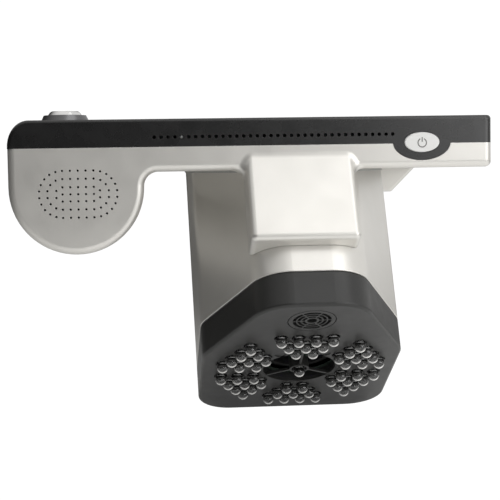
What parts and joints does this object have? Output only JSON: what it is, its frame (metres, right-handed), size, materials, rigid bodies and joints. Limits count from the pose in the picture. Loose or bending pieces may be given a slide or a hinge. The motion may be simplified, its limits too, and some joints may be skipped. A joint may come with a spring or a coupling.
{
  "type": "handheld vision screening scanner",
  "caption": "Handheld photorefraction scanner: flat display slab with half-round grip and a tilted camera hood ringed with clear LEDs.",
  "frame": {"origin": "centre of the display glass on its outer face", "axes": "+X along the body away from the grip, +Y away from the wall with the power button, +Z the display's outward normal"},
  "size_m": [0.206, 0.1839, 0.1424],
  "materials": {
    "black_shell": "fine satin texture",
    "silver_shell": "silver paint, satin",
    "gasket": "soft light grey seal",
    "dark_cap": "dark grey satin",
    "black_part": "moulded black",
    "board": "circuit board with solder mask",
    "screw": "zinc plated",
    "lens_barrel": "anodised black",
    "ribbon": "polyimide film",
    "display_glass": "dark gloss cover glass",
    "lcd": "display module",
    "frame_metal": "stamped sheet",
    "battery": "shrink wrap",
    "brass": "turned",
    "power_key": "off-white satin",
    "symbol_ink": "dark inlay",
    "bezel": "black anodised",
    "shutter_metal": "polished",
    "optics": "coated lens",
    "led": "clear epoxy"
  },
  "bodies": {
    "housing": {"battery_door": "silver_shell", "battery_door_screws": "screw", "battery_pack": "battery", "board_screws": "screw", "camera_baffle": "black_part", "camera_board": "board", "camera_ribbon": "ribbon", "cap_screws": "screw", "centre_led": "led", "centre_led_board": "board", "centre_led_carrier": "dark_cap", "dc_socket": "black_part", "display_glass": "display_glass", "face_cap": "dark_cap", "face_grille": "dark_cap", "face_speaker": "black_part", "frame_screws": "screw", "front_lens": "optics", "grip_speaker": "black_part", "hood_gasket": "gasket", "hood_screws": "screw", "hood_shell": "silver_shell", "housing_screws": "screw", "image_sensor": "black_part", "key_board": "board", "lcd_module": "lcd", "led_board": "board", "led_cluster_1": "led", "led_cluster_2": "led", "led_cluster_3": "led", "led_cluster_4": "led", "led_cluster_5": "led", "led_cluster_6": "led", "lens_barrel": "lens_barrel", "main_board": "board", "mid_frame": "frame_metal", "optics_plate": "black_part", "port_board": "board", "power_switch": "black_part", "rear_housing": "silver_shell", "rear_lens": "optics", "shutter_bezel": "bezel", "shutter_nut": "frame_metal", "shutter_switch": "black_part", "status_light": "power_key", "top_cover": "black_shell", "tripod_insert": "brass", "usb_socket": "screw"},
    "shutter": {"shutter_button": "shutter_metal"},
    "power_key": {"power_button": "power_key", "power_symbol": "symbol_ink"}
  },
  "joints": [
    {"name": "shutter_press", "type": "slide", "parent": "housing", "child": "shutter", "axis": [0, 0, -1], "range_m": [0, 0.001], "stiffness_N_per_m": 1500, "springref_m": -0.0005},
    {"name": "power_press", "type": "slide", "parent": "housing", "child": "power_key", "axis": [0, 1, 0], "range_m": [0, 0.0008], "stiffness_N_per_m": 1500, "springref_m": -0.0005}
  ]
}
